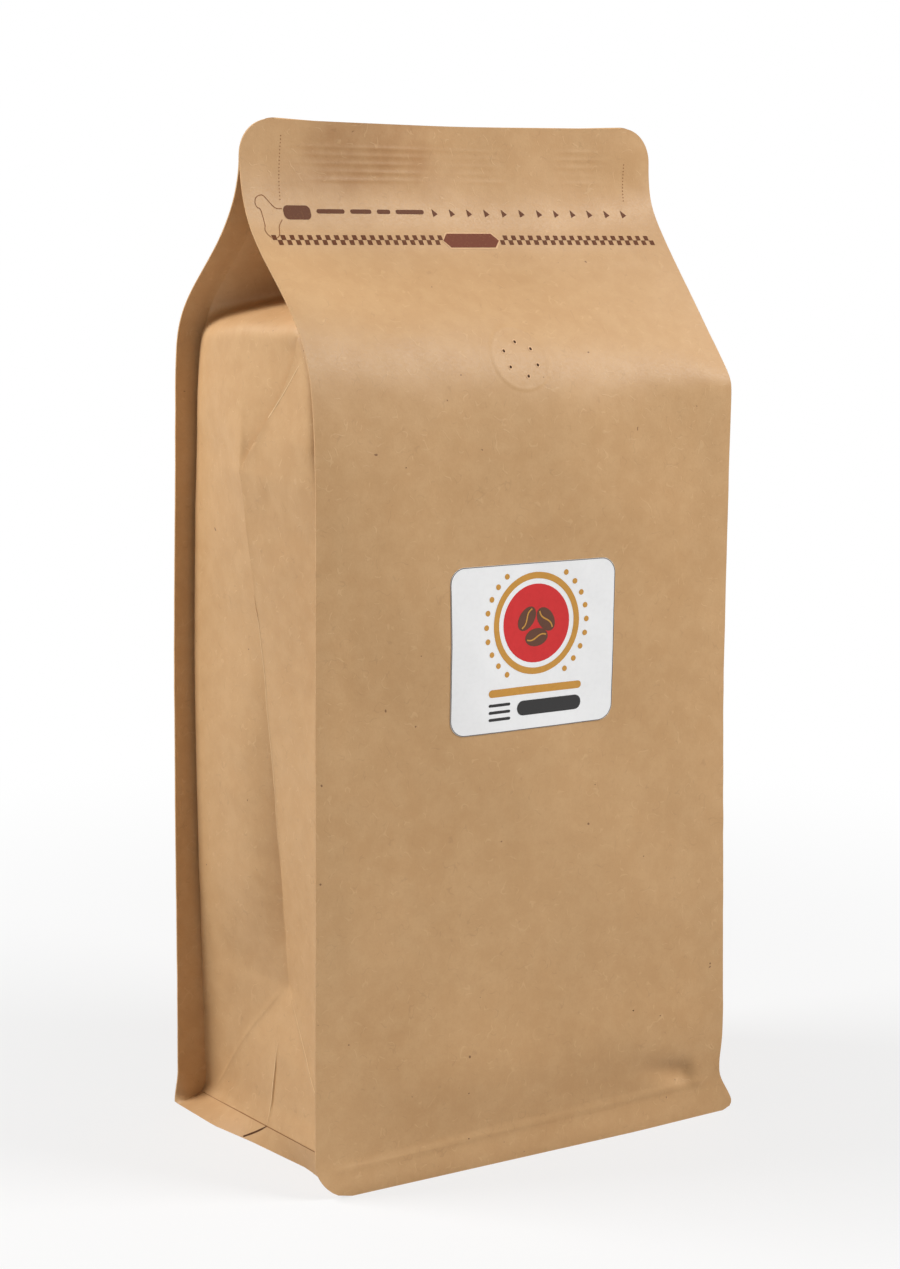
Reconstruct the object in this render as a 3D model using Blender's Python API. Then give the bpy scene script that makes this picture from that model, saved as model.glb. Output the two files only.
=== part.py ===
"""Coffee bag: a shut flat-bottom pouch of kraft paper with a square sticker.

Metres, +Z up. The bag stands on z = 0 and its front panel faces -Y. It is lofted
from level sections: two flat panels that meet in a sealed fin at the top, and two
gussets that bulge between the panels below the shoulder and fold inwards above it.
"""
import math

import bmesh
import bpy
from mathutils import Vector

# Driving sizes of the pouch
WIDTH = 0.150            # front panel, tip to tip of the sealed corner strips
DEPTH = 0.096            # front panel to back panel
HEIGHT = 0.3225          # floor to the top edge of the fin
SEAL_STRIP = 0.009       # the corner strip, where panel and gusset are welded
SEAL_THICK = 0.0007      # two layers of paper
FIN_THICK = 0.0012       # all layers of the top seal
FIN_FOOT = 0.303         # where the side folds close into the fin
CORNER_R = 0.0115        # die-cut round corners at the top and the lower left
SMALL_R = 0.0040         # the lower right front corner, creased shorter by its curl
HEM = 0.0085             # bottom seal, below the lower fold
HEM_FOLD_FRONT = 0.0095  # height of the fold over a gusset's hem, at its front corner
HEM_FOLD_BACK = 0.0030   # and at its back corner
HEM_FLARE = 0.0092       # how far the hem under a gusset splays outwards at the back
HEM_TUCK = 0.0008        # how far it tucks in at the front
LEDGE = {-1: 0.2615, 1: 0.2530}    # height at which the left and right gussets turn inwards
LEDGE_TILT = 0.0020      # the ledge climbs towards the front panel
LEDGE_RISE = 0.0080      # the floor of the fold climbs this much on its way in
APEX_HIGH = 0.217        # height at which the two upper creases of a gusset meet
APEX_LOW = 0.049         # height at which its two lower creases meet
APEX_OUT = 0.0095        # bulge of a gusset where its two upper creases meet
APEX_IN = 0.0075         # dent of a gusset where its two lower creases meet
BELLY = 0.0018           # outward bow of the front and back panels
HEM_OUT_FRONT = 0.0022   # how far the bottom seal stands out in front
HEM_OUT_BACK = 0.0025    # and at the back
BACK_TAPER = 0.0030      # the back panel leans in by this much towards its shoulder
TOP_DIP = 0.0012         # sag of the fin's top edge between its corners
CURL = 0.0042            # the lower right front corner curls outwards
SPREAD = 0.0044          # the right front edge spreads by this much near the floor
PINCH = 0.3              # part of the spread lost where the belly meets the lower fold
SET_BACK = Vector((-0.0037, 0.0, 0.0))    # keeps the whole bag centred

# Shoulders: start of the slope, slope, softness below and softness above
FRONT_LEFT = (0.2642, 1.94, 0.0200, 0.0145)
FRONT_RIGHT = (0.2434, 0.87, 0.0011, 0.0037)
BACK_SIDE = (0.2636, 1.64, 0.0093, 0.0150)

# Sticker
LABEL_W = 0.060
LABEL_H = 0.0515
LABEL_Z = 0.1643
LABEL_R = 0.0050
LABEL_THICK = 0.0004
GAP = 0.0003

PANEL_STEPS = 14
GUSSET_STEPS = 12
HEM_STEPS = 3
WALL_LEVELS = (0.022, 0.036, 0.056, 0.080, 0.110, 0.145, 0.180, 0.205, 0.222, 0.236, 0.243,
               0.248, 0.251, 0.254, 0.257)
FOLD_LEVELS = 7
SLOPE_LEVELS = 9
FIN_LEVELS = 6


def soft_step(value, softness):
    """Zero below zero and value above it, with a rounded corner."""
    return softness * math.log1p(math.exp(min(value / softness, 60.0)))


def ramp(z, shape, rise):
    """A slope that starts and ends softly and climbs by rise in all."""
    start, slope, low_soft, high_soft = shape
    end = start + rise / slope
    return soft_step(slope * (z - start), low_soft) - soft_step(slope * (z - end), high_soft)


def blend(a, b, t):
    return a + (b - a) * t


def smooth(t):
    t = min(max(t, 0.0), 1.0)
    return t * t * (3.0 - 2.0 * t)


def front_y(x, z):
    """The front panel: its shoulder is round on the left and sharp on the right."""
    across = min(max(x / WIDTH + 0.5, 0.0), 1.0)
    shape = [blend(a, b, across) for a, b in zip(FRONT_LEFT, FRONT_RIGHT)]
    half = DEPTH / 2
    inner = FIN_THICK / 2
    bow = BELLY * (1.0 - (2.0 * x / WIDTH) ** 2) * math.sin(math.pi * min(z / 0.25, 1.0))
    return -(half - ramp(z, shape, half - inner)) - bow


def back_y(x, z):
    half = DEPTH / 2 - BACK_TAPER * smooth((z - 0.14) / 0.11)
    inner = FIN_THICK / 2
    bow = BELLY * (1.0 - (2.0 * x / WIDTH) ** 2) * math.sin(math.pi * min(z / 0.25, 1.0))
    return half - ramp(z, BACK_SIDE, half - inner) + bow


def corner_inset(z, low_radius):
    """How far a round corner takes the panel's edge in at this height."""
    radius = low_radius if z < HEIGHT / 2 else CORNER_R
    reach = max(radius - z, z - (HEIGHT - radius), 0.0)
    return radius - math.sqrt(max(radius ** 2 - reach ** 2, 0.0))


def tip_x(z, side, face=-1):
    """Half width of a panel: its lower corners are round in front and square at the back."""
    if face > 0 and z < HEIGHT / 2:
        return WIDTH / 2
    low_radius = CORNER_R if side < 0 else SMALL_R
    return max(WIDTH / 2 - corner_inset(z, low_radius), WIDTH / 2 - SEAL_STRIP + 0.0006)


def panel_row(z, face):
    """A panel's points from left to right in front, and from right to left at the back."""
    left = -tip_x(z, -1, face)
    right = tip_x(z, 1, face)
    row = [panel_point(blend(left, right, i / PANEL_STEPS), z, face)
           for i in range(PANEL_STEPS + 1)]
    if face > 0:
        row.reverse()
    return row


def gusset_depth(side, across, z, half_gap):
    """Inward reach of a gusset: across runs from -1 at the front to 1 at the back."""
    ledge = LEDGE[side] - LEDGE_TILT * across
    crown = 1.0 - abs(across) ** 1.6
    middle = (z - APEX_LOW) / (APEX_HIGH - APEX_LOW)
    bulge = -blend(APEX_IN, -APEX_OUT, min(max(middle, 0.0), 1.0)) * smooth(z / APEX_LOW)
    bulge *= blend(1.0, 0.75, smooth((z - APEX_HIGH) / (ledge - APEX_HIGH)))
    full = DEPTH / 2
    fold = math.sqrt(max(full ** 2 - half_gap ** 2, 0.0)) * (1.0 - abs(across))
    turned = smooth((z - ledge) / LEDGE_RISE)
    return blend(-bulge * crown, fold, turned)


def hem_height(across):
    """The lower fold climbs from the back corner to the front corner."""
    return blend(HEM_FOLD_FRONT, HEM_FOLD_BACK, (across + 1.0) / 2.0)


def hem_flare(across):
    """The hem under a gusset splays outwards, most at the back."""
    back = (across + 1.0) / 2.0
    return blend(-HEM_TUCK, HEM_FLARE, smooth((back - 0.15) / 0.75))


def side_points(side, z, level):
    """One side of a section from the front tip to the back tip, tips not included."""
    root = WIDTH / 2 - SEAL_STRIP
    front = front_y(side * root, z) + SEAL_THICK
    back = back_y(side * root, z) - SEAL_THICK
    half_gap = (back - front) / 2
    middle = (back + front) / 2
    points = []
    for i in range(GUSSET_STEPS + 1):
        across = 2.0 * i / GUSSET_STEPS - 1.0
        height = z
        reach = gusset_depth(side, across, z, half_gap)
        if level < 1.0:
            height = hem_height(across) * level
            reach = -hem_flare(across) * (1.0 - level) ** 1.2
        points.append(Vector((side * (root - reach), middle + half_gap * across, height)))
    return points


def panel_point(x, z, face):
    """A point of the front (-1) or back (1) panel with the curled corner worked in."""
    level = z - TOP_DIP * (1.0 - (2.0 * x / WIDTH) ** 2) * smooth((z - 0.30) / (HEIGHT - 0.30))
    low = smooth(1.0 - z / (1.4 * HEM))
    if face > 0:
        return Vector((x, back_y(x, z) + HEM_OUT_BACK * low, level))
    right = smooth(x / WIDTH * 4.0 - 1.0)
    pinch = 1.0 - PINCH * math.exp(-((z - 0.016) / 0.008) ** 2)
    shift = CURL * smooth(1.0 - z / 0.014) + SPREAD * smooth(1.0 - z / 0.17) * pinch
    shift *= right
    out = HEM_OUT_FRONT * low * (1.0 - 0.6 * right)
    return Vector((x + shift, front_y(x, z) - out, level))


def fin_section(z):
    """Above the foot of the fin the sides are plain edges."""
    tip = tip_x(z, 1)
    half = FIN_THICK / 2
    ring = panel_row(z, -1)
    count = GUSSET_STEPS + 3
    edge = [Vector((tip, blend(-half, half, (i + 1) / (count + 1)), z)) for i in range(count)]
    ring += edge
    ring += panel_row(z, 1)
    ring += [Vector((-p.x, p.y, p.z)) for p in reversed(edge)]
    return ring


def bag_section(z, level=2.0):
    """A closed section, anticlockwise from the front left tip; level < 1 is the hem."""
    if level < 1.0:
        z = HEM * level
    ring = panel_row(z, -1)
    inside_front = ring[-1] + Vector((0.0, SEAL_THICK, 0.0))
    right = side_points(1, z, level)
    back = panel_row(z, 1)
    inside_back = back[0] - Vector((0.0, SEAL_THICK, 0.0))
    left = side_points(-1, z, level)
    left.reverse()
    ring += [inside_front] + right + [inside_back]
    ring += back
    ring += [back[-1] - Vector((0.0, SEAL_THICK, 0.0))] + left
    ring += [ring[0] + Vector((0.0, SEAL_THICK, 0.0))]
    return ring


def sole_sections(hem_edge):
    """The underside inside the hem: a shallow groove, then a flat sole that carries the bag."""
    rings = []
    for scale_x, scale_y, height in ((0.72, 0.66, 0.0), (0.78, 0.74, 0.0005), (0.88, 0.88, 0.0006),
                                     (0.955, 0.955, 0.0005), (0.975, 0.972, 0.0)):
        rings.append([Vector((p.x * scale_x, p.y * scale_y, height)) for p in hem_edge])
    return rings


def loft(name, rings):
    """Skin a stack of rings of equal count and cap both ends."""
    mesh = bpy.data.meshes.new(name)
    bm = bmesh.new()
    layers = [[bm.verts.new(point) for point in ring] for ring in rings]
    count = len(rings[0])
    for low, high in zip(layers, layers[1:]):
        for i in range(count):
            j = (i + 1) % count
            bm.faces.new((low[i], low[j], high[j], high[i]))
    bm.faces.new(list(reversed(layers[0])))
    bm.faces.new(layers[-1])
    bmesh.ops.recalc_face_normals(bm, faces=bm.faces)
    bmesh.ops.triangulate(bm, faces=bm.faces)
    bm.to_mesh(mesh)
    bm.free()
    return mesh


def bag_rings():
    hem_edge = bag_section(0.0, level=0.0)
    rings = sole_sections(hem_edge)
    rings += [bag_section(0.0, level=i / HEM_STEPS) for i in range(HEM_STEPS)]
    rings += [bag_section(HEM * 1.4)]
    rings += [bag_section(z) for z in WALL_LEVELS]
    fold_start = LEDGE[-1] - LEDGE_TILT
    top_of_fold = LEDGE[-1] + LEDGE_TILT + LEDGE_RISE
    rings += [bag_section(blend(fold_start, top_of_fold, i / FOLD_LEVELS))
              for i in range(FOLD_LEVELS + 1)]
    slope = [blend(top_of_fold, FIN_FOOT, (i + 1) / SLOPE_LEVELS) for i in range(SLOPE_LEVELS)]
    rings += [bag_section(z) for z in slope]
    fin = [blend(FIN_FOOT + 0.0015, HEIGHT, math.sin(math.pi / 2 * i / FIN_LEVELS))
           for i in range(FIN_LEVELS + 1)]
    rings += [fin_section(z) for z in fin]
    return rings


def rounded_outline(width, height, radius, steps=6):
    """A rectangle with round corners, as points (x, z) round its centre."""
    points = []
    for quarter in range(4):
        sign_x = (1, -1, -1, 1)[quarter]
        sign_z = (1, 1, -1, -1)[quarter]
        for i in range(steps + 1):
            angle = math.pi / 2 * (quarter + i / steps)
            x = sign_x * (width / 2 - radius) + radius * math.cos(angle)
            z = sign_z * (height / 2 - radius) + radius * math.sin(angle)
            points.append((x, z))
    return points


def label_rings():
    """The sticker follows the front panel, a hair's breadth in front of it."""
    outline = rounded_outline(LABEL_W, LABEL_H, LABEL_R)
    rings = []
    for offset, scales in ((GAP, (0.2, 0.6, 1.0)), (GAP + LABEL_THICK, (1.0, 0.6, 0.2))):
        for scale in scales:
            ring = []
            for x, z in outline:
                level = LABEL_Z + z * scale
                ring.append(Vector((x * scale, front_y(x * scale, level) - offset, level)))
            rings.append(ring)
    return rings


def paint(name, colour, roughness):
    material = bpy.data.materials.new(name)
    material.use_nodes = True
    shader = material.node_tree.nodes["Principled BSDF"]
    shader.inputs["Base Color"].default_value = (*colour, 1.0)
    shader.inputs["Roughness"].default_value = roughness
    shader.inputs["Metallic"].default_value = 0.0
    return material


def place(name, rings, material, collection, sharp_angle):
    mesh = loft(name, rings)
    mesh.shade_smooth()
    mesh.set_sharp_from_angle(angle=math.radians(sharp_angle))
    mesh.materials.append(material)
    piece = bpy.data.objects.new(name, mesh)
    piece.location = SET_BACK
    collection.objects.link(piece)
    return piece


def main():
    for old in list(bpy.data.objects):
        bpy.data.objects.remove(old)
    collection = bpy.data.collections.new("coffee_bag")
    bpy.context.scene.collection.children.link(collection)
    kraft = paint("kraft_paper", (0.46, 0.29, 0.14), 0.75)
    white = paint("label_paper", (0.90, 0.90, 0.90), 0.45)
    place("bag", bag_rings(), kraft, collection, 35)
    place("label", label_rings(), white, collection, 40)


main()
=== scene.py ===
"""The looks of a shut kraft paper coffee pouch with a square sticker.

Metres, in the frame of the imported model: origin at the bottom centre, +Z up, front
panel facing -Y. Shapes are first worked out in the pouch's own coordinates, where the
middle of the panels is x = 0, and then moved by SET_BACK into the frame.
"""
import math

import bmesh
import bpy
import numpy as np
from mathutils import Matrix, Vector
from mathutils.bvhtree import BVHTree


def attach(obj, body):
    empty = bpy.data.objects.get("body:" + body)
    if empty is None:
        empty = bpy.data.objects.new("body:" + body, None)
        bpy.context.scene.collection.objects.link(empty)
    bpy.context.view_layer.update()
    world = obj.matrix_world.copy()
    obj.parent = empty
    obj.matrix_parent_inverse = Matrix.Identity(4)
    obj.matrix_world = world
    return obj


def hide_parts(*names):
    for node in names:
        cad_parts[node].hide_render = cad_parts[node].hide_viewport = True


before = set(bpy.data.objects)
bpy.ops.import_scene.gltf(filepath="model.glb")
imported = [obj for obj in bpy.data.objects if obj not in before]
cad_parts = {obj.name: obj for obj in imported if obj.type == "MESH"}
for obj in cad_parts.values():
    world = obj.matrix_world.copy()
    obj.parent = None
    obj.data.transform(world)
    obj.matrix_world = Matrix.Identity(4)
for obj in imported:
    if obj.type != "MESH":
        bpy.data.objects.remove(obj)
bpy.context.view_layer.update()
BODY = "root"

# Driving sizes of the pouch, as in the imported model
WIDTH = 0.150
DEPTH = 0.096
HEIGHT = 0.3225
SEAL_STRIP = 0.009
SEAL_THICK = 0.0006
FIN_THICK = 0.0011
CORNER_R = 0.0115
SMALL_R = 0.0040
HEM = 0.0085
HEM_FOLD_FRONT = 0.0095
HEM_FOLD_BACK = 0.0030
HEM_OUT_FRONT = 0.0022
HEM_OUT_BACK = 0.0025
LEDGE = {-1: 0.2615, 1: 0.2530}
LEDGE_TILT = 0.0020
LEDGE_RISE_MIDDLE = 0.0140
LEDGE_RISE_CORNER = 0.0060
LEDGE_ROUND = 0.0070
APEX_HIGH = 0.217
APEX_LOW = 0.052
TRIANGLE_TOP = 0.262
TRIANGLE_FOOT = 0.004
BELLY = 0.0018
BACK_TAPER = 0.0030
TOP_DIP = 0.0012
CURL = 0.0042
SPREAD = 0.0044
PINCH = 0.3
SET_BACK = np.array((-0.0037, 0.0, 0.0))
FRONT_LEFT = (0.2642, 1.94, 0.0200, 0.0145)
FRONT_RIGHT = (0.2434, 0.87, 0.0011, 0.0037)
BACK_SIDE = (0.2636, 1.64, 0.0093, 0.0150)

LABEL_W = 0.060
LABEL_H = 0.0515
LABEL_Z = 0.1643
LABEL_R = 0.0050

# Fine features of the front panel
VALVE = (-0.0015, 0.2517)
VALVE_R = 0.0104
VALVE_STRETCH = 1.08
DIMPLE = (0.0600, 0.0160)
DIMPLE_DEPTH = 0.0018
RIB_TOP = 0.3148
RIB_GAP = 0.0026
RIB_COUNT = 5
RIB_PATCHES = ((0.9, -0.034, 0.020), (0.6, 0.010, 0.016), (0.5, 0.047, 0.012))
CHECK_Z = 0.2864
LOZENGE = (0.0021, 0.2862)

# Mesh density: columns across the front as (share of the width, steps), the rest as counts
FRONT_COLUMNS = ((0.405, 44), (0.170, 46), (0.425, 46))
BACK_COLUMNS = ((1.0, 84),)
OUTER_STEPS = 30
INNER_STEPS = 16
STRIP_STEPS = 4


# ---------------------------------------------------------------- number helpers

def blend(a, b, t):
    return a + (b - a) * t


def smooth(t):
    t = np.clip(t, 0.0, 1.0)
    return t * t * (3.0 - 2.0 * t)


def keyed(value, table):
    """Straight-line interpolation in a short table of (place, value)."""
    places, values = zip(*table)
    return np.interp(value, places, values)


def soft_step(value, softness):
    """Zero below zero and value above it, with a rounded corner."""
    return softness * np.logaddexp(0.0, value / softness)


def ramp(z, shape, rise):
    """A slope that starts and ends softly and climbs by rise in all."""
    start, slope, low_soft, high_soft = shape
    end = start + rise / slope
    return soft_step(slope * (z - start), low_soft) - soft_step(slope * (z - end), high_soft)


def bump(value, centre, width):
    return np.exp(-((value - centre) / width) ** 2)


def waves(seed, count, low, high):
    """Random plane waves with lengths between low and high: frequencies, phase, weight."""
    rng = np.random.default_rng(seed)
    angle = rng.uniform(0.0, math.tau, count)
    length = np.exp(rng.uniform(math.log(low), math.log(high), count))
    return np.stack([np.cos(angle) / length, np.sin(angle) / length,
                     rng.uniform(0.0, math.tau, count), length / high], axis=1)


def uneven(table, a, b):
    """Smooth random relief between about -1 and 1 at the surface coordinates a and b."""
    total = np.zeros(np.broadcast(a, b).shape)
    for fa, fb, phase, weight in table:
        total += weight * np.sin(math.tau * (a * fa + b * fb) + phase)
    return total / math.sqrt(float(np.sum(table[:, 3] ** 2)) * 2.0)


BUCKLE = waves(3, 14, 0.030, 0.090)
CRINKLE = waves(8, 26, 0.008, 0.022)
PATCHES = waves(5, 10, 0.030, 0.080)


# ---------------------------------------------------------------- the pouch's form

def closed_at_top(y, face, z):
    return blend(face * FIN_THICK / 2, y, smooth((HEIGHT - z) / 0.020))


def bow(x, z):
    return BELLY * (1.0 - (2.0 * x / WIDTH) ** 2) * np.sin(math.pi * np.minimum(z / 0.25, 1.0))


def front_y(x, z):
    across = np.clip(x / WIDTH + 0.5, 0.0, 1.0)
    shape = [blend(a, b, across) for a, b in zip(FRONT_LEFT, FRONT_RIGHT)]
    half = DEPTH / 2
    return closed_at_top(-(half - ramp(z, shape, half - FIN_THICK / 2)) - bow(x, z), -1, z)


def back_y(x, z):
    half = DEPTH / 2 - BACK_TAPER * smooth((z - 0.14) / 0.11)
    return closed_at_top(half - ramp(z, BACK_SIDE, DEPTH / 2 - FIN_THICK / 2) + bow(x, z), 1, z)


def sway(x, z):
    """The fin isn't quite flat: both sheets wander together."""
    wave = 0.0007 * np.sin(math.tau * x / 0.085 + 0.6) + 0.0004 * np.sin(math.tau * x / 0.047 + 2.0)
    return wave * smooth((z - 0.296) / 0.02)


def corner_inset(z, low_radius):
    radius = low_radius if z < HEIGHT / 2 else CORNER_R
    reach = max(radius - z, z - (HEIGHT - radius), 0.0)
    return radius - math.sqrt(max(radius ** 2 - reach ** 2, 0.0))


def tip_x(z, side, face=-1):
    if face > 0 and z < HEIGHT / 2:
        return WIDTH / 2
    return WIDTH / 2 - corner_inset(z, CORNER_R if side < 0 else SMALL_R)


def hem_crease(x):
    """Height of the crease along the top of the front hem."""
    return blend(0.0083, 0.0120, (x + 0.060) / 0.138)


def panel_relief(x, z, face):
    """How far the paper of a panel stands out from its smooth form."""
    from_edge = WIDTH / 2 - np.abs(x)
    inside = smooth(from_edge / 0.012)
    body = smooth((z - 0.010) / 0.02) * smooth((HEIGHT - 0.004 - z) / 0.02)
    out = 0.00050 * uneven(BUCKLE, x, z + face) * body * (0.3 + 0.7 * inside)
    out += 0.00007 * uneven(CRINKLE, x + face, z) * body
    # pressure folds under the shoulder and under the zip
    near_shoulder = bump(z, 0.246, 0.016) + 0.6 * bump(z, 0.292, 0.012)
    out += 0.00014 * uneven(CRINKLE, x * 0.6, z * 0.6) * near_shoulder * inside
    # the belly over the hem, the crease below it, and a fold line higher up at the left
    out += 0.0014 * bump(z, 0.031, 0.013) * smooth(from_edge / 0.03)
    crease = np.where(face < 0, hem_crease(x), 0.0100)
    out += 0.00045 * bump(z, crease, 0.0010) * smooth((from_edge - 0.004) / 0.006)
    out -= 0.00012 * bump(z, 0.0468, 0.0007) * smooth((-0.030 - x) / 0.01) * (face < 0)
    # the zip behind the paper, and the crease that it presses
    zip_line = bump(z, CHECK_Z, 0.0030) + 0.5 * bump(z, CHECK_Z - 0.0062, 0.0009)
    out += 0.00032 * zip_line * smooth((from_edge - 0.006) / 0.006)
    # ribs pressed by the sealing jaws, stronger in patches
    pressed = sum(weight * bump(x, place, width) for weight, place, width in RIB_PATCHES)
    strength = smooth(pressed + 0.5 * uneven(PATCHES, x, z * 2.0))
    strength = strength * (0.7 + 0.5 * uneven(CRINKLE, x * 0.5, z * 3.0))
    run = smooth((from_edge - 0.0135) / 0.004)
    for i in range(RIB_COUNT):
        level = RIB_TOP - RIB_GAP * i
        out += 0.00021 * bump(z, level, 0.00055) * run * strength
    return out


def valve_relief(x, z):
    """The pressed ring and the raised disc of the degassing valve behind the front."""
    r = np.hypot(x - VALVE[0], (z - VALVE[1]) * VALVE_STRETCH)
    disc = 0.00008 * smooth((VALVE_R + 0.0006 - r) / 0.0014)
    ring = 0.00010 * bump(r, VALVE_R - 0.0006, 0.00055)
    return disc + ring


def panel_points(x, z, face):
    """Points of the front (-1) or back (1) panel."""
    level = z - TOP_DIP * (1.0 - (2.0 * x / WIDTH) ** 2) * smooth((z - 0.30) / (HEIGHT - 0.30))
    low = smooth(1.0 - z / (1.4 * HEM))
    relief = panel_relief(x, z, face)
    if face > 0:
        y = back_y(x, z) + HEM_OUT_BACK * low + relief + sway(x, z)
        return np.stack([x, y, level], axis=-1)
    right = smooth(x / WIDTH * 4.0 - 1.0)
    pinch = 1.0 - PINCH * bump(z, 0.016, 0.008)
    shift = CURL * smooth(1.0 - z / 0.014) + SPREAD * smooth(1.0 - z / 0.17) * pinch
    out = HEM_OUT_FRONT * low * (1.0 - 0.6 * right)
    dimple_z = DIMPLE[1] - (x - DIMPLE[0]) * 0.25
    dimple = DIMPLE_DEPTH * bump(x, DIMPLE[0], 0.0120) * bump(z, dimple_z, 0.0036)
    dimple = dimple * smooth((0.0652 - x) / 0.0040)
    y = front_y(x, z) - out - relief - valve_relief(x, z) + sway(x, z) + dimple
    return np.stack([x + shift * right, y, level], axis=-1)


# How far the middle crease of a gusset stands out from its roots, by height
CREASE_OUT = ((0.0, 0.0), (0.030, -0.003), (0.052, -0.0075), (0.095, -0.0045), (0.150, 0.0005),
              (0.217, 0.0095))
# How far the paper pillows out beside the roots, by height
PILLOW = {1: ((0.03, 0.0), (0.05, 0.0008), (0.08, 0.0020), (0.11, 0.0028), (0.15, 0.0032),
              (0.20, 0.0032), (0.23, 0.0024), (0.262, 0.0010)),
          -1: ((0.04, 0.0), (0.10, 0.0006), (0.15, 0.0010), (0.18, 0.0022), (0.20, 0.0042),
               (0.215, 0.0072), (0.228, 0.0090), (0.262, 0.0084))}
# How far the hem stands out on the ground, from the front root -1 to the back root 1
HEM_OUTLINE = ((-1.0, 0.0), (-0.5, 0.001), (0.1, -0.0035), (0.5, -0.0075), (1.0, -0.009))


def triangle_reach(z):
    """Half width, as a share of the half depth, of the corner triangles at a height."""
    upper = (z - APEX_HIGH) / (TRIANGLE_TOP - APEX_HIGH)
    lower = (APEX_LOW - z) / (APEX_LOW - TRIANGLE_FOOT)
    return float(np.clip(max(upper, lower), 0.0, 0.96))


def gusset_columns(z):
    """Places across a gusset, front root -1 to back root 1, with a column on each crease."""
    reach = max(triangle_reach(z), 0.05)
    u = np.linspace(0.0, 1.0, OUTER_STEPS + 1)
    outer = 1.0 - (1.0 - reach) * u ** 1.5
    inner = reach * (1.0 - smooth(np.linspace(0.0, 1.0, INNER_STEPS + 1)))[1:]
    half = np.concatenate([outer, inner])
    return np.concatenate([-half, half[-2::-1]])


def gusset_out(side, across, z, height):
    """Outward bulge of a gusset beyond its roots, below the ledge."""
    ledge = LEDGE[side] - LEDGE_TILT * across
    over = smooth((height - APEX_HIGH) / (ledge - APEX_HIGH))
    middle = keyed(height, CREASE_OUT) * blend(1.0, 0.80, over)
    reach = np.abs(across)
    flat = triangle_reach(z)
    slope = 1.0 - reach
    if z < APEX_LOW:
        slope = np.minimum(slope / (1.0 - flat), 1.0)
    if z > APEX_HIGH:
        # over the apex the gusset stays full until close to its roots
        fuller = float(smooth(flat / 0.55))
        slope = 1.0 - reach ** (1.0 + 1.4 * fuller)
    from_root = (1.0 - reach) * DEPTH / 2
    roll = 1.0 - np.exp(-from_root / 0.0011)
    pillow = np.where(across > 0, keyed(height, PILLOW[1]), keyed(height, PILLOW[-1])) * roll
    straight = np.maximum(smooth((middle + 0.002) / 0.006),
                          smooth((APEX_LOW + 0.035 - height) / 0.035))
    straight = np.where(across > 0, straight, 1.0)
    share = blend(np.exp(-reach / 0.20), slope, straight)
    out = pillow + (middle - pillow) * share
    out += 0.0005 * uneven(BUCKLE, across * 0.048 + side, height) * (1.0 - reach ** 3)
    return out + 0.00012 * uneven(CRINKLE, across * 0.048, height) * (1.0 - reach ** 4)


def gusset_creases(side, across, z):
    """Sharp fold lines of a gusset. Each dips on one side and stands up on the other."""
    reach = np.abs(across)
    y = across * DEPTH / 2
    flat = triangle_reach(z)
    beyond = (reach - flat) * DEPTH / 2 / math.sqrt(2.0)
    front = across < 0
    out = np.zeros_like(across)
    if z > APEX_HIGH:
        inside = smooth((-beyond - 0.00005) / 0.0003)
        near = smooth((z - APEX_HIGH) / 0.008) * smooth((LEDGE[side] - z) / 0.008)
        near = near * smooth(np.abs(y) / 0.004)
        depth = np.where(front, 0.0019, 0.0)
        out -= depth * np.exp(np.minimum(beyond, 0.0) / 0.0065) * inside * near
        out += 0.15 * depth * np.exp(-np.maximum(beyond, 0.0) / 0.0015) * (1.0 - inside) * near
    if z < APEX_LOW:
        near = smooth((APEX_LOW - z) / 0.006) * smooth((z - 0.004) / 0.006)
        depth = np.where(front, 0.00045, 0.00035)
        out += depth * np.exp(-np.abs(beyond) / 0.0009) * near
        overlap = smooth((z - 0.003) / 0.004) * smooth((0.036 - z) / 0.012)
        dipped = smooth((-y - 0.00005) / 0.0003)
        out -= 0.00025 * np.exp(np.minimum(y, 0.0) / 0.0060) * dipped * overlap
        out += 0.0002 * np.exp(-np.maximum(y, 0.0) / 0.0012) * (1.0 - dipped) * overlap
    middle = smooth((z - APEX_LOW - 0.01) / 0.04) * smooth((APEX_HIGH - 0.004 - z) / 0.012)
    dipped = smooth((y - 0.00005) / 0.0003)
    out -= 0.0006 * np.exp(-np.maximum(y, 0.0) / 0.0060) * dipped * middle
    out += 0.0002 * np.exp(np.minimum(y, 0.0) / 0.0012) * (1.0 - dipped) * middle
    return out


def hem_height(across):
    return blend(HEM_FOLD_FRONT, HEM_FOLD_BACK, (across + 1.0) / 2.0)


def hem_points(side, across, level):
    """The hem of a gusset, from its edge on the ground (level 0) to its fold (level 1)."""
    root = WIDTH / 2 - SEAL_STRIP
    front = front_y(side * root, HEM * level) + SEAL_THICK
    back = back_y(side * root, HEM * level) - SEAL_THICK
    reach = keyed(across, HEM_OUTLINE) * (1.0 - level) ** 1.1 - 0.0005 * level
    height = hem_height(across) * level
    y = blend(front, back, (across + 1.0) / 2.0)
    return np.stack([side * (root - reach), y, height], axis=-1)


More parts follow.
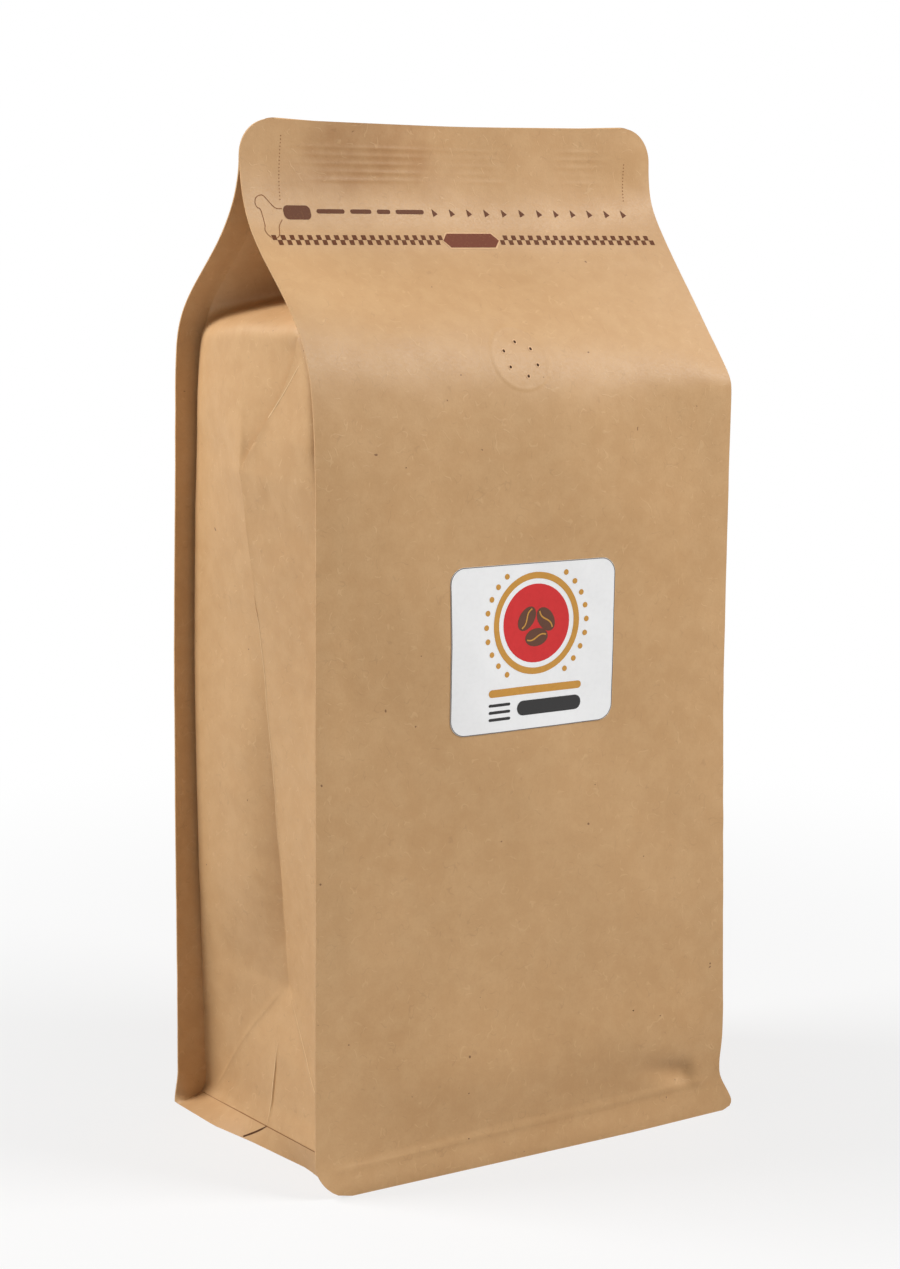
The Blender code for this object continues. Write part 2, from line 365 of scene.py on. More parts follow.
def side_points(side, z, level):
    """One side of a section, from the front root over the gusset to the back root."""
    across = gusset_columns(z)
    if level < 1.0:
        return hem_points(side, across, level)
    root = WIDTH / 2 - SEAL_STRIP
    if z > HEIGHT / 2:
        root = min(root, tip_x(z, side) - 0.0006)
    narrow = 0.0013 * (1.0 - float(smooth(z / 0.06))) * smooth(across)
    x = side * root
    gap = back_y(x, z) - front_y(x, z)
    thick = min(SEAL_THICK, 0.46 * gap)
    half_gap = gap / 2 - thick
    middle = (back_y(x, z) + front_y(x, z)) / 2 + sway(x, z)
    deep = math.sqrt(max((DEPTH / 2) ** 2 - half_gap ** 2, 0.0))
    deep *= blend(1.0, 0.25, float(smooth((z - 0.285) / 0.025))) * float(smooth(half_gap / 0.0005))
    fold = deep * (1.0 - np.abs(across))
    rise = blend(LEDGE_RISE_MIDDLE, LEDGE_RISE_CORNER, np.abs(across))
    over = (z - (LEDGE[side] - LEDGE_TILT * across) + LEDGE_ROUND) / (rise + LEDGE_ROUND)
    turned = smooth(over) ** 2
    # the lowest rows follow the slanting fold of the hem
    height = z + (hem_height(across) - HEM) * (1.0 - float(smooth((z - HEM) / 0.030)))
    out = gusset_out(side, across, z, height) + gusset_creases(side, across, z)
    above = height - hem_height(across)
    hem_join = smooth(above / 0.008)
    lip = 0.0005 * np.exp(-above / 0.0010)
    reach = blend(narrow * smooth(above / 0.003) - out * hem_join - lip, fold, turned)
    return np.stack([side * (root - reach), middle + half_gap * across, height], axis=-1)


def columns(parts):
    places = [np.array([0.0])]
    for share, steps in parts:
        places.append(places[-1][-1] + share * np.arange(1, steps + 1) / steps)
    return np.concatenate(places)


FRONT_PLACES = columns(FRONT_COLUMNS)
BACK_PLACES = columns(BACK_COLUMNS)


def panel_row(z, face):
    left = -tip_x(z, -1, face)
    right = tip_x(z, 1, face)
    places = FRONT_PLACES if face < 0 else BACK_PLACES
    x = blend(left, right, places)
    row = panel_points(x, np.full_like(x, z), face)
    return row[::-1] if face > 0 else row


def bag_section(z, level=2.0):
    """A closed section, anticlockwise from the front left tip; level < 1 is the hem."""
    if level < 1.0:
        z = HEM * level
    front = panel_row(z, -1)
    back = panel_row(z, 1)
    gap = back_y(0.0, z) - front_y(0.0, z)
    inward = np.array((0.0, min(SEAL_THICK, 0.46 * gap), 0.0))
    right = side_points(1, z, level)
    left = side_points(-1, z, level)[::-1]
    t = np.linspace(0.0, 1.0, STRIP_STEPS, endpoint=False)[:, None]
    return np.concatenate([
        front, blend(front[-1] + inward, right[0], t), right, blend(back[0] - inward, right[-1], t)[::-1],
        back, blend(back[-1] - inward, left[0], t), left, blend(front[0] + inward, left[-1], t)[::-1]])


def sole_sections(hem_edge):
    """The underside inside the hem: a shallow groove, then a flat sole that carries the bag."""
    rings = []
    for scale_x, scale_y, height in ((0.02, 0.02, 0.0), (0.40, 0.36, 0.0), (0.72, 0.66, 0.0),
                                     (0.78, 0.74, 0.0005), (0.88, 0.88, 0.0006),
                                     (0.955, 0.955, 0.0005), (0.982, 0.978, 0.0)):
        ring = hem_edge * np.array((scale_x, scale_y, 0.0))
        ring[:, 2] = height
        rings.append(ring)
    return rings


# Heights of the rows, as (up to, row height), from the top of the hem
ROWS = ((0.060, 0.0011), (0.205, 0.0017), (0.238, 0.0011), (0.265, 0.00048), (0.274, 0.00065),
        (0.283, 0.0012), (0.290, 0.0006), (0.3005, 0.0011), (0.3165, 0.00045))


def bag_levels():
    levels = [HEM, HEM + 0.0005]
    for top, step in ROWS:
        count = max(round((top - levels[-1]) / step), 1)
        levels += list(np.linspace(levels[-1], top, count + 1)[1:])
    steps = 14
    rest = HEIGHT - levels[-1]
    levels += [HEIGHT - rest * (1.0 - math.sin(math.pi / 2 * i / steps)) for i in range(1, steps + 1)]
    return levels


def bag_rings():
    hem = [bag_section(0.0, level=i / 8) for i in range(8)]
    return sole_sections(hem[0]) + hem + [bag_section(z) for z in bag_levels()]


def add_piece(name, mesh, material):
    mesh.materials.append(material)
    piece = bpy.data.objects.new(name, mesh)
    bpy.context.scene.collection.objects.link(piece)
    return piece


def skin(name, rings, material):
    """Joins a stack of rings of equal count into one closed mesh."""
    count = len(rings[0])
    points = np.concatenate(rings) + SET_BACK
    base = np.arange(len(rings) - 1)[:, None] * count
    i = np.arange(count)[None, :]
    j = (i + 1) % count
    quads = np.stack([base + i, base + j, base + j + count, base + i + count], axis=-1).reshape(-1, 4)
    faces = quads.tolist()
    faces.append(list(range(count))[::-1])
    last = (len(rings) - 1) * count
    faces.append([last + k for k in range(count)])
    mesh = bpy.data.meshes.new(name)
    mesh.from_pydata(points.tolist(), [], faces)
    mesh.validate()
    mesh.shade_smooth()
    mesh.set_sharp_from_angle(angle=math.radians(40))
    return add_piece(name, mesh, material)


# ---------------------------------------------------------------- materials

def linear(r, g, b):
    """An 8-bit sRGB colour as linear values."""
    values = []
    for c in (r, g, b):
        c /= 255.0
        values.append(c / 12.92 if c <= 0.04045 else ((c + 0.055) / 1.055) ** 2.4)
    return (*values, 1.0)


class Nodes:
    """Short way to build a node tree."""

    def __init__(self, name):
        self.material = bpy.data.materials.new(name)
        self.material.use_nodes = True
        self.tree = self.material.node_tree
        self.shader = self.tree.nodes["Principled BSDF"]
        self.place = self.add("ShaderNodeTexCoord").outputs["Object"]

    def add(self, kind, **settings):
        node = self.tree.nodes.new(kind)
        for key, value in settings.items():
            setattr(node, key, value)
        return node

    def link(self, source, target):
        self.tree.links.new(source, target)

    def noise(self, scale, detail=3.0, rough=0.5):
        node = self.add("ShaderNodeTexNoise")
        node.inputs["Scale"].default_value = scale
        node.inputs["Detail"].default_value = detail
        node.inputs["Roughness"].default_value = rough
        self.link(self.place, node.inputs["Vector"])
        return node.outputs["Fac"]

    def fibres(self, scale, cut_scale, width, offset):
        """Thin curved lines, the level lines of a noise, cut into short lengths by another."""
        moved = self.add("ShaderNodeMapping")
        moved.inputs["Location"].default_value = offset
        self.link(self.place, moved.inputs["Vector"])
        line = self.add("ShaderNodeTexNoise")
        line.inputs["Scale"].default_value = scale
        line.inputs["Detail"].default_value = 0.5
        self.link(moved.outputs["Vector"], line.inputs["Vector"])
        cut = self.add("ShaderNodeTexNoise")
        cut.inputs["Scale"].default_value = cut_scale
        cut.inputs["Detail"].default_value = 0.0
        self.link(moved.outputs["Vector"], cut.inputs["Vector"])
        away = self.math("ABSOLUTE", self.math("SUBTRACT", line.outputs["Fac"], 0.5), 0.0)
        near = self.ramp(away, width * 0.5, width, 1.0, 0.0)
        return self.math("MULTIPLY", near, self.ramp(cut.outputs["Fac"], 0.58, 0.68))

    def ramp(self, source, low, high, out_low=0.0, out_high=1.0):
        node = self.add("ShaderNodeMapRange")
        node.interpolation_type = "SMOOTHSTEP"
        ends = (("From Min", low), ("From Max", high), ("To Min", out_low), ("To Max", out_high))
        for key, value in ends:
            node.inputs[key].default_value = value
        self.link(source, node.inputs["Value"])
        return node.outputs["Result"]

    def mix(self, factor, a, b):
        node = self.add("ShaderNodeMix", data_type="RGBA")
        for socket, value in ((node.inputs[0], factor), (node.inputs[6], a), (node.inputs[7], b)):
            if isinstance(value, (tuple, float)):
                socket.default_value = value
            else:
                self.link(value, socket)
        return node.outputs[2]

    def math(self, operation, a, b):
        node = self.add("ShaderNodeMath", operation=operation)
        for socket, value in ((node.inputs[0], a), (node.inputs[1], b)):
            if isinstance(value, float):
                socket.default_value = value
            else:
                self.link(value, socket)
        return node.outputs[0]

    def bump(self, height, strength, distance, below=None):
        node = self.add("ShaderNodeBump")
        node.inputs["Strength"].default_value = strength
        node.inputs["Distance"].default_value = distance
        self.link(height, node.inputs["Height"])
        if below is not None:
            self.link(below, node.inputs["Normal"])
        return node.outputs["Normal"]


KRAFT = linear(201, 159, 111)
KRAFT_DARK = linear(187, 143, 94)
KRAFT_LIGHT = linear(221, 184, 137)
# a darker brown, used as painted shade over the fin
KRAFT_FIN_SHADE = linear(160, 112, 66)
KRAFT_FLECK = linear(104, 64, 32)


def kraft_paper(name):
    """Unbleached kraft: cloudy tone, fine grain, short pale and dark fibres, rare specks, and darker patches
    of painted shade over the fin.
    """
    n = Nodes(name)
    cloud = n.ramp(n.noise(17.0, 4.0, 0.6), 0.34, 0.68)
    mottle = n.ramp(n.noise(150.0, 4.0, 0.65), 0.34, 0.70)
    grain = n.noise(1500.0, 2.0, 0.6)
    colour = n.mix(n.math("MULTIPLY", cloud, 0.42), KRAFT, KRAFT_DARK)
    split = n.add("ShaderNodeSeparateXYZ")
    n.link(n.place, split.inputs[0])
    # painted shade: darker brown patches over the fin, standing in for the shading of its waviness
    fin_shade = n.math("MULTIPLY", n.ramp(split.outputs["Z"], 0.296, 0.306),
                    n.ramp(n.noise(24.0, 2.0, 0.5), 0.46, 0.66))
    colour = n.mix(n.math("MULTIPLY", fin_shade, 0.60), colour, KRAFT_FIN_SHADE)
    colour = n.mix(n.math("MULTIPLY", mottle, 0.22), colour, KRAFT_LIGHT)
    colour = n.mix(n.ramp(grain, 0.40, 0.72, 0.0, 0.20), colour, KRAFT_DARK)
    pale = n.fibres(230.0, 330.0, 0.022, (0.0, 0.0, 0.0))
    dark = n.fibres(260.0, 300.0, 0.018, (0.37, 0.11, 0.53))
    colour = n.mix(n.math("MULTIPLY", pale, 0.26), colour, KRAFT_LIGHT)
    colour = n.mix(n.math("MULTIPLY", dark, 0.10), colour, KRAFT_FLECK)
    specks = n.ramp(n.noise(410.0, 1.0, 0.5), 0.800, 0.825, 0.0, 0.75)
    colour = n.mix(specks, colour, KRAFT_FLECK)
    n.link(colour, n.shader.inputs["Base Color"])
    n.link(n.ramp(grain, 0.3, 0.7, 0.62, 0.50), n.shader.inputs["Roughness"])
    n.shader.inputs["Specular IOR Level"].default_value = 0.45
    soft = n.bump(n.noise(55.0, 5.0, 0.6), 0.20, 0.0012)
    fine = n.bump(grain, 0.10, 0.0002, soft)
    n.link(n.bump(pale, 0.25, 0.0001, fine), n.shader.inputs["Normal"])
    return n.material


def ink(name, colour, roughness=0.6):
    """Flexo ink: the paper's fibres show through as lighter specks."""
    n = Nodes(name)
    worn = n.ramp(n.noise(1300.0, 2.0, 0.6), 0.52, 0.74, 0.0, 0.35)
    lighter = tuple(blend(c, k, 0.30) for c, k in zip(colour, KRAFT))
    n.link(n.mix(worn, colour, lighter), n.shader.inputs["Base Color"])
    n.link(n.ramp(worn, 0.0, 0.4, roughness, roughness + 0.1), n.shader.inputs["Roughness"])
    n.shader.inputs["Specular IOR Level"].default_value = 0.2
    return n.material


def sticker_paper(name, colour, worn=0.965, grain_bump=0.05):
    """Coated sticker paper, or ink on it: a faint grain in tone, gloss and relief."""
    n = Nodes(name)
    grain = n.noise(700.0, 2.0, 0.5)
    shade = tuple(c * worn for c in colour[:3]) + (1.0,)
    n.link(n.mix(n.ramp(grain, 0.4, 0.7, 0.0, 0.6), colour, shade), n.shader.inputs["Base Color"])
    n.link(n.ramp(grain, 0.3, 0.7, 0.36, 0.46), n.shader.inputs["Roughness"])
    n.link(n.bump(grain, grain_bump, 0.0002), n.shader.inputs["Normal"])
    return n.material


# ---------------------------------------------------------------- print on the panels

class Wrap:
    """Lays flat shapes on a finished surface that faces -Y."""

    def __init__(self, piece):
        mesh = piece.data
        verts = [v.co.copy() for v in mesh.vertices]
        polys = [tuple(p.vertices) for p in mesh.polygons if len(p.vertices) == 4]
        self.tree = BVHTree.FromPolygons(verts, polys)

    def drop(self, x, z, lift):
        """The point of the front surface at x and z, in the frame, lifted along its normal."""
        start = Vector((x + SET_BACK[0], -0.2, z))
        point, normal, _, _ = self.tree.ray_cast(start, Vector((0.0, 1.0, 0.0)))
        if point is None:
            raise ValueError(f"no surface at {x:.4f}, {z:.4f}")
        if normal.y > 0:
            normal = -normal
        return point + normal * lift


def cut_outline(outline, cell):
    """A flat outline, convex, cut along x and z into cells small enough to bend."""
    flat = bmesh.new()
    flat.faces.new([flat.verts.new((x, 0.0, z)) for x, z in outline])
    for axis in (0, 2):
        low = min(v.co[axis] for v in flat.verts)
        high = max(v.co[axis] for v in flat.verts)
        count = int((high - low) / cell) + 1
        normal = [0.0, 0.0, 0.0]
        normal[axis] = 1.0
        for k in range(1, count):
            place = [0.0, 0.0, 0.0]
            place[axis] = blend(low, high, k / count)
            geometry = flat.verts[:] + flat.edges[:] + flat.faces[:]
            bmesh.ops.bisect_plane(flat, geom=geometry, plane_co=place, plane_no=normal, dist=1e-7)
    return flat


def patch_mesh(name, wrap, outlines, lift, material, cell=0.0012, skirt=0.0):
    """Flat outlines laid on the front, all turned the same way, with an edge if skirt > 0."""
    bm = bmesh.new()
    for outline in outlines:
        flat = cut_outline(outline, cell)
        rim = [edge for edge in flat.edges if edge.is_boundary]
        for vert in flat.verts:
            vert.co = wrap.drop(vert.co.x, vert.co.z, lift)
        for face in flat.faces:
            face.normal_update()
            if face.normal.y > 0:
                face.normal_flip()
        if skirt:
            made = bmesh.ops.extrude_edge_only(flat, edges=rim)["geom"]
            for vert in (item for item in made if isinstance(item, bmesh.types.BMVert)):
                vert.co.y += skirt
        part = bpy.data.meshes.new("part")
        flat.to_mesh(part)
        flat.free()
        bm.from_mesh(part)
        bpy.data.meshes.remove(part)
    mesh = bpy.data.meshes.new(name)
    bm.to_mesh(mesh)
    bm.free()
    mesh.shade_smooth()
    mesh.set_sharp_from_angle(angle=math.radians(40))
    return add_piece(name, mesh, material)


def rectangle(x, z, width, height):
    return [(x - width / 2, z - height / 2), (x + width / 2, z - height / 2),
            (x + width / 2, z + height / 2), (x - width / 2, z + height / 2)]


def disc(x, z, radius, steps=24, squash=1.0):
    turns = [math.tau * k / steps for k in range(steps)]
    return [(x + radius * math.cos(turn), z + squash * radius * math.sin(turn)) for turn in turns]


def rounded(x, z, width, height, radius, steps=6):
    points = []
    for quarter in range(4):
        sign_x = (1, -1, -1, 1)[quarter]
        sign_z = (1, 1, -1, -1)[quarter]
        for k in range(steps + 1):
            angle = math.pi / 2 * (quarter + k / steps)
            points.append((x + sign_x * (width / 2 - radius) + radius * math.cos(angle),
                           z + sign_z * (height / 2 - radius) + radius * math.sin(angle)))
    return points


def stroke(points, width, closed=False):
    """A thin line as short quads, one for each piece of the route."""
    quads = []
    count = len(points)
    for k in range(count if closed else count - 1):
        (x0, z0), (x1, z1) = points[k], points[(k + 1) % count]
        length = math.hypot(x1 - x0, z1 - z0)
        if length < 1e-7:
            continue
        nx, nz = -(z1 - z0) / length * width / 2, (x1 - x0) / length * width / 2
        ex, ez = (x1 - x0) / length * width * 0.2, (z1 - z0) / length * width * 0.2
        quads.append([(x0 - ex + nx, z0 - ez + nz), (x0 - ex - nx, z0 - ez - nz),
                      (x1 + ex - nx, z1 + ez - nz), (x1 + ex + nx, z1 + ez + nz)])
    return quads


# ---------------------------------------------------------------- build

def adopt(piece, slot, *nodes):
    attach(piece, BODY)
    if nodes:
        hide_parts(*nodes)


kraft = kraft_paper("kraft_paper")
bag = skin("Bag_Paper", bag_rings(), kraft)
adopt(bag, "kraft_paper", "bag")
wrap = Wrap(bag)

LIFT = 0.00006
BROWN = ink("brown_ink", linear(96, 50, 18))
RED_BROWN = ink("red_brown_ink", linear(112, 54, 30))
THIN_BROWN = ink("thin_brown_ink", linear(146, 98, 58))
BARE = ink("bare_paper_edge", linear(226, 184, 140))
# painted shade for the inside of the valve's pinholes, and the colour of the paper's real dark specks
HOLE_SHADE_AND_SPECKS = ink("hole_shade_and_specks", linear(70, 42, 22), 0.8)


def check_band():
    """Two rows of small squares along the zip, broken by a plain lozenge."""
    pitch = 0.00310
    size = pitch / 2
    shapes = []
    for row in range(2):
        for k in range(46):
            x = -0.0682 + pitch * k + (size if row else 0.0)
            if LOZENGE[0] - 0.0110 < x < LOZENGE[0] + 0.0110 or x > 0.0700:
                continue
            shapes.append(rectangle(x, CHECK_Z + (0.00072 if row == 0 else -0.00072), size, 0.00144))
    return shapes


def lozenge(grow):
    """A long hexagon with cut corners, grown or shrunk by an even border."""
    x, z = LOZENGE
    half_w, half_h, cut = 0.0106 + grow, 0.0021 + grow, 0.0022
    return [(x - half_w, z), (x - half_w + cut, z - half_h), (x + half_w - cut, z - half_h),
            (x + half_w, z), (x + half_w - cut, z + half_h), (x - half_w + cut, z + half_h)]


def arrow(x, z, size):
    corners = ((-0.8, 1.1), (-0.6, -1.2), (1.1, -0.4))
    return [(x + right * size, z + up * size) for right, up in corners]


def curve_through(points, steps=6):
    """A smooth route through a few points (Catmull-Rom)."""
    count = len(points)
    route = []
    for k in range(count - 1):
        p = [np.array(points[min(max(k + j, 0), count - 1)]) for j in (-1, 0, 1, 2)]
        for i in range(steps):
            t = i / steps
            route.append(tuple(0.5 * (2 * p[1] + (p[2] - p[0]) * t
                                      + (2 * p[0] - 5 * p[1] + 4 * p[2] - p[3]) * t ** 2
                                      + (3 * p[1] - p[0] - 3 * p[2] + p[3]) * t ** 3)))
    route.append(points[-1])
    return route


# The tear tab: two round lobes with a waist, as x, z, radius and the degrees drawn
TAB_LOBES = ((-0.0691, 0.2972, 0.0023, 60, 250), (-0.0680, 0.2893, 0.0024, 140, 330))
TAB_START = ((-0.0627, 0.2956), (-0.0650, 0.2959))
TAB_END = ((-0.0650, 0.2904), (-0.0634, 0.2923))
PICTOGRAM = (-0.0576, 0.2945)


def arc(x, z, radius, start, stop, steps=6):
    angles = np.radians(np.linspace(start, stop, steps))
    return [(x + radius * math.cos(angle), z + radius * math.sin(angle)) for angle in angles]


def tab_outline():
    lobes = [point for lobe in TAB_LOBES for point in arc(*lobe)]
    return curve_through([*TAB_START, *lobes, *TAB_END])


def bar(x0, x1, z, height):
    return rounded((x0 + x1) / 2, z, x1 - x0, height, height / 2 * 0.98, 4)


prints = {
    "Print_Checks": (check_band(), BROWN, LIFT),
    "Print_Lozenge_Border": ([lozenge(0.0004)], BARE, LIFT),
    "Print_Lozenge": ([lozenge(0.0)], RED_BROWN, 2 * LIFT),
    "Print_Arrows": ([arrow(-0.0086 + 0.0065 * k, 0.2947, 0.00105) for k in range(12)], BROWN, LIFT),
    "Print_Tab_Outline": (stroke(tab_outline(), 0.00026), THIN_BROWN, LIFT),
    "Print_Pictogram": ([rounded(*PICTOGRAM, 0.0094, 0.0042, 0.0016)], BROWN, LIFT),
    "Print_Bars": ([bar(x0, x1, 0.2949, 0.0013) for x0, x1 in
                    ((-0.0508, -0.0412), (-0.0392, -0.0318), (-0.0298, -0.0250), (-0.0230, -0.0125))],
                   BROWN, LIFT),
    "Tear_Dots": ([disc(-0.0609 - 0.0001 * k, 0.3172 - 0.00105 * k, 0.00020, 8) for k in range(19)]
                  + [disc(0.0646 - 0.00004 * k, 0.3106 - 0.00105 * k, 0.00022, 8) for k in range(12)],
                  THIN_BROWN, LIFT),
}
PINHOLES = ((-0.0016, 0.2564), (-0.0068, 0.2539), (0.0032, 0.2543), (-0.0060, 0.2492),
            (0.0039, 0.2496), (-0.0003, 0.2464))
prints["Valve_Hole_Rims"] = ([disc(x, z, 0.00082, 14) for x, z in PINHOLES], BARE, LIFT)
# dark discs of painted shade where the pinholes are
prints["Valve_Holes"] = ([disc(x, z, 0.00044, 12) for x, z in PINHOLES], HOLE_SHADE_AND_SPECKS, 1.8 * LIFT)
SPECKS = ((0.0411, 0.0411, 0.00032), (-0.0637, 0.0473, 0.00022), (-0.0210, 0.0095, 0.00024),
          (0.0240, 0.1180, 0.00018), (-0.0450, 0.2210, 0.00020))
prints["Paper_Specks"] = ([disc(x, z, r, 8, 0.7) for x, z, r in SPECKS], HOLE_SHADE_AND_SPECKS, LIFT)
for name, (shapes, material, lift) in prints.items():
    adopt(patch_mesh(name, wrap, shapes, lift, material), "kraft_paper")


# ---------------------------------------------------------------- lines on the gussets and the hem

def ribbon(name, wrap, points, widths, material, lift=0.00005):
    """A thin band laid on the surface along a route of points, with a width at each."""
    bm = bmesh.new()
    rails = []
    for k, width in enumerate(widths):
        place, normal, _, _ = wrap.tree.find_nearest(Vector(points[k]))
        before, after = points[max(k - 1, 0)], points[min(k + 1, len(points) - 1)]
        side = (Vector(after) - Vector(before)).cross(normal).normalized() * (width / 2)
        rails.append([bm.verts.new(place + normal * lift + side * s) for s in (-1, 1)])
    for (a, b), (d, c) in zip(rails, rails[1:]):
        bm.faces.new((a, b, c, d))
    mesh = bpy.data.meshes.new(name)
    bm.to_mesh(mesh)
    bm.free()
    mesh.shade_smooth()
    return add_piece(name, mesh, material)


def gusset_route(side, places):
    """Points of a finished gusset, in the frame, at pairs of across and height."""
    route = []
    for across, z in places:
        row = side_points(side, z, 2.0)
        order = np.argsort(row[:, 1])
        y = across * DEPTH / 2
        point = [np.interp(y, row[order, 1], row[order, i]) for i in range(3)]
        route.append(np.array(point) + SET_BACK)
    return route


def tapered(count, width, start=0.25, end=0.25):
    t = np.linspace(0.0, 1.0, count)
    grown = blend(start, 1.0, smooth(t / 0.3))
    shrunk = blend(end, 1.0, smooth((1.0 - t) / 0.3))
    return width * np.minimum(grown, shrunk)


SLIT_FOOT = 0.215      # where a hem's slit meets the ground, as a share of the half depth
FOLD_LEVEL = 0.999     # just under the fold, where the hem still has its own shape
# painted highlight: a pale tone for the fold lines of the gussets, where the fold edges catch the light
CREASE_HIGHLIGHT = ink("crease_painted_highlight", linear(224, 188, 142))
CREASE_SHADE = ink("crease_shade", linear(150, 104, 62))
CUT = ink("cut_edge_shade", linear(84, 52, 28), 0.8)
t = np.linspace(0.0, 1.0, 14)
for side, tag in ((-1, "Left"), (1, "Right")):
    slit = [hem_points(side, np.array([blend(SLIT_FOOT, 0.0, k)]), float(min(k, FOLD_LEVEL)))[0] + SET_BACK
            for k in t]
    adopt(ribbon(f"Hem_Slit_{tag}", wrap, slit, tapered(14, 0.0007, 0.9, 0.5), CUT), "kraft_paper")
    fold = [hem_points(side, np.array([a]), FOLD_LEVEL)[0] + SET_BACK for a in np.linspace(-0.97, 0.96, 40)]
    adopt(ribbon(f"Hem_Fold_{tag}", wrap, fold, np.full(40, 0.00035), CREASE_SHADE), "kraft_paper")
    # pale ribbons of painted highlight along the creases of the gussets
    lines = {
        "Foot_Crease_Highlight": ([(0.008, z) for z in np.linspace(0.034, 0.0075, 14)], 0.00055),
        "Foot_Diagonal_Highlight": ([(-0.05 - 0.75 * k, 0.050 - 0.036 * k) for k in t], 0.00035),
        "Middle_Crease_Highlight": ([(-0.006, z) for z in np.linspace(0.200, 0.092, 30)], 0.00035),
        "Shoulder_Crease_Highlight": ([(-0.06 - 0.88 * k, APEX_HIGH + 0.0025 + 0.0400 * k) for k in t], 0.00035),
    }
    for name, (places, width) in lines.items():
        route = gusset_route(side, places)
        adopt(ribbon(f"{name}_{tag}", wrap, route, tapered(len(route), width), CREASE_HIGHLIGHT), "kraft_paper")

# ---------------------------------------------------------------- sticker

def sector_ring(x, z, inner, outer, start, stop, steps):
    quads = []
    for k in range(steps):
        a0 = blend(start, stop, k / steps)
        a1 = blend(start, stop, (k + 1) / steps)
        quads.append([(x + r * math.cos(a), z + r * math.sin(a))
                      for r, a in ((inner, a0), (outer, a0), (outer, a1), (inner, a1))])
    return quads


def turned_ellipse(x, z, long, short, angle, steps=20):
    points = []
    for k in range(steps):
        a, b = long * math.cos(math.tau * k / steps), short * math.sin(math.tau * k / steps)
        points.append((x + a * math.cos(angle) - b * math.sin(angle),
                       z + a * math.sin(angle) + b * math.cos(angle)))
    return points


def bean_split(x, z, long, angle):
    """The S-shaped groove down the middle of a coffee bean."""
    route = []
    for k in range(13):
        along = blend(-0.82, 0.82, k / 12) * long
        side = 0.16 * long * math.sin(math.pi * along / long)
        route.append((x + along * math.cos(angle) - side * math.sin(angle),
                      z + along * math.sin(angle) + side * math.cos(angle)))
    return stroke(route, 0.00045)


WHITE = sticker_paper("label_paper", linear(250, 250, 250))
RED = sticker_paper("label_red", linear(214, 32, 34), 0.93)
GOLD = sticker_paper("label_gold", linear(206, 148, 58), 0.90)
BEAN = sticker_paper("label_brown", linear(92, 50, 26), 0.90)
BLACK = sticker_paper("label_black", linear(24, 22, 22), 0.90)
LINE = sticker_paper("label_line", linear(92, 88, 84), 0.95)

SHEET_LIFT = 0.00020
STEP = 0.00004
sheet = rounded(0.0, LABEL_Z, LABEL_W, LABEL_H, LABEL_R, 10)
label = patch_mesh("Label_Sheet", wrap, [sheet], SHEET_LIFT, WHITE, skirt=0.00024)
adopt(label, "label_paper", "label")
EMBLEM = (0.0010, LABEL_Z + 0.0070)
edge = rounded(0.0, LABEL_Z, LABEL_W - 0.0003, LABEL_H - 0.0003, LABEL_R, 10)
RING = (0.0138, 0.0158)
DISC_R = 0.0122
DOT_R = 0.0009
DOT_ORBIT = 0.0185
BEAN_LONG = 0.0042
BEAN_SHORT = 0.0028
BEANS = ((-0.0034, 0.0016, 0.9), (0.0036, 0.0010, 2.2), (0.0002, -0.0044, 0.1))
dots = [disc(EMBLEM[0] + side * DOT_ORBIT * math.cos(turn), EMBLEM[1] + DOT_ORBIT * math.sin(turn), DOT_R, 12)
        for side in (-1, 1) for turn in np.linspace(-0.95, 0.95, 9)]
beans = [turned_ellipse(EMBLEM[0] + x, EMBLEM[1] + z, BEAN_LONG, BEAN_SHORT, a) for x, z, a in BEANS]
splits = [q for x, z, a in BEANS for q in bean_split(EMBLEM[0] + x, EMBLEM[1] + z, BEAN_LONG, a)]
art = {
    "Label_Edge_Line": (stroke(edge, 0.00022, True), LINE, 1),
    "Label_Ring": (sector_ring(*EMBLEM, *RING, 0.0, math.tau, 72), GOLD, 1),
    "Label_Dots": (dots, GOLD, 1),
    "Label_Disc": ([disc(*EMBLEM, DISC_R, 48)], RED, 1),
    "Label_Beans": (beans, BEAN, 2),
    "Label_Bean_Splits": (splits, GOLD, 3),
    "Label_Gold_Bar": ([bar(-0.0165, 0.0180, LABEL_Z - 0.0135, 0.0024)], GOLD, 1),
    "Label_Black_Bar": ([bar(-0.0060, 0.0180, LABEL_Z - 0.0190, 0.0046)], BLACK, 1),
    "Label_Small_Bars": ([bar(-0.0165, -0.0085, LABEL_Z - 0.0172 - 0.0022 * k, 0.0009) for k in range(3)],
                         BLACK, 1),
}
for name, (shapes, material, layer) in art.items():
    adopt(patch_mesh(name, wrap, shapes, SHEET_LIFT + STEP * layer, material), "label_paper")

# ---------------------------------------------------------------- stage, light, camera

FLOOR_WHITENESS = 0.70


